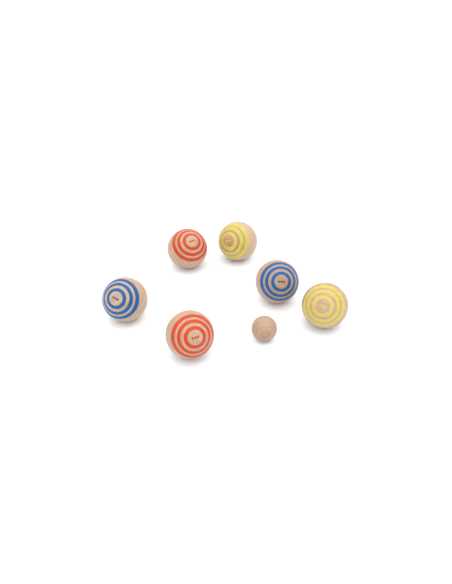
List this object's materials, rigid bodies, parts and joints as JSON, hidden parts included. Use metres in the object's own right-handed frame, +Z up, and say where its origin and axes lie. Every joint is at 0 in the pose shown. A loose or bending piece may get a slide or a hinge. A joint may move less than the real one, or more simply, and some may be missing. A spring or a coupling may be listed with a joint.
{
  "type": "bocce ball set",
  "caption": "Turned wooden balls with painted rings in red, blue or yellow, lying loose around a small plain wooden jack, for a lawn game.",
  "frame": {"origin": "on the ground below the middle of the laid-out set, the bottom centre of its box", "axes": "+Z up, +X to the right and +Y away from the front of the set, with its longest side along X"},
  "size_m": [0.393, 0.3402, 0.0732],
  "materials": {
    "ball_wood": "pale beech, turned and finely sanded, thin clear satin coat",
    "jack_wood": "beech, turned and finely sanded, thin clear satin coat, a little darker than the balls",
    "red_paint": "red-orange satin paint",
    "blue_paint": "blue satin paint",
    "yellow_paint": "yellow satin paint"
  },
  "bodies": {
    "jack": {"jack": "jack_wood"},
    "red_front": {"red_front_ball": "ball_wood", "red_front_inner_ring": "red_paint", "red_front_middle_ring": "red_paint", "red_front_outer_ring": "red_paint", "red_front_centre_mark": "red_paint"},
    "red_back": {"red_back_ball": "ball_wood", "red_back_inner_ring": "red_paint", "red_back_middle_ring": "red_paint", "red_back_outer_ring": "red_paint", "red_back_centre_mark": "red_paint"},
    "blue_left": {"blue_left_ball": "ball_wood", "blue_left_inner_ring": "blue_paint", "blue_left_middle_ring": "blue_paint", "blue_left_outer_ring": "blue_paint", "blue_left_centre_mark": "blue_paint"},
    "blue_right": {"blue_right_ball": "ball_wood", "blue_right_inner_ring": "blue_paint", "blue_right_middle_ring": "blue_paint", "blue_right_outer_ring": "blue_paint", "blue_right_centre_mark": "blue_paint"},
    "yellow_right": {"yellow_right_ball": "ball_wood", "yellow_right_inner_ring": "yellow_paint", "yellow_right_middle_ring": "yellow_paint", "yellow_right_outer_ring": "yellow_paint", "yellow_right_centre_mark": "yellow_paint"},
    "yellow_back": {"yellow_back_ball": "ball_wood", "yellow_back_inner_ring": "yellow_paint", "yellow_back_middle_ring": "yellow_paint", "yellow_back_outer_ring": "yellow_paint", "yellow_back_centre_mark": "yellow_paint"}
  },
  "joints": [
    {"name": "red_front_roll", "type": "hinge", "parent": "jack", "child": "red_front", "pos_m": [-0.0515, -0.1335, 0.0365], "axis": [-0.2555, 0.9668, 0], "continuous": true},
    {"name": "red_back_roll", "type": "hinge", "parent": "jack", "child": "red_back", "pos_m": [-0.065, 0.1105, 0.0365], "axis": [0.86, 0.5104, 0], "continuous": true},
    {"name": "blue_left_roll", "type": "hinge", "parent": "jack", "child": "blue_left", "pos_m": [-0.16, -0.0415, 0.0365], "axis": [0.269, 0.9631, 0], "continuous": true},
    {"name": "blue_right_roll", "type": "hinge", "parent": "jack", "child": "blue_right", "pos_m": [0.0905, -0.001, 0.0365], "axis": [0.9635, -0.2679, 0], "continuous": true},
    {"name": "yellow_right_roll", "type": "hinge", "parent": "jack", "child": "yellow_right", "pos_m": [0.16, -0.07, 0.0365], "axis": [0.3235, -0.9462, 0], "continuous": true},
    {"name": "yellow_back_roll", "type": "hinge", "parent": "jack", "child": "yellow_back", "pos_m": [0.0285, 0.1335, 0.0365], "axis": [0.9902, 0.14, 0], "continuous": true}
  ]
}
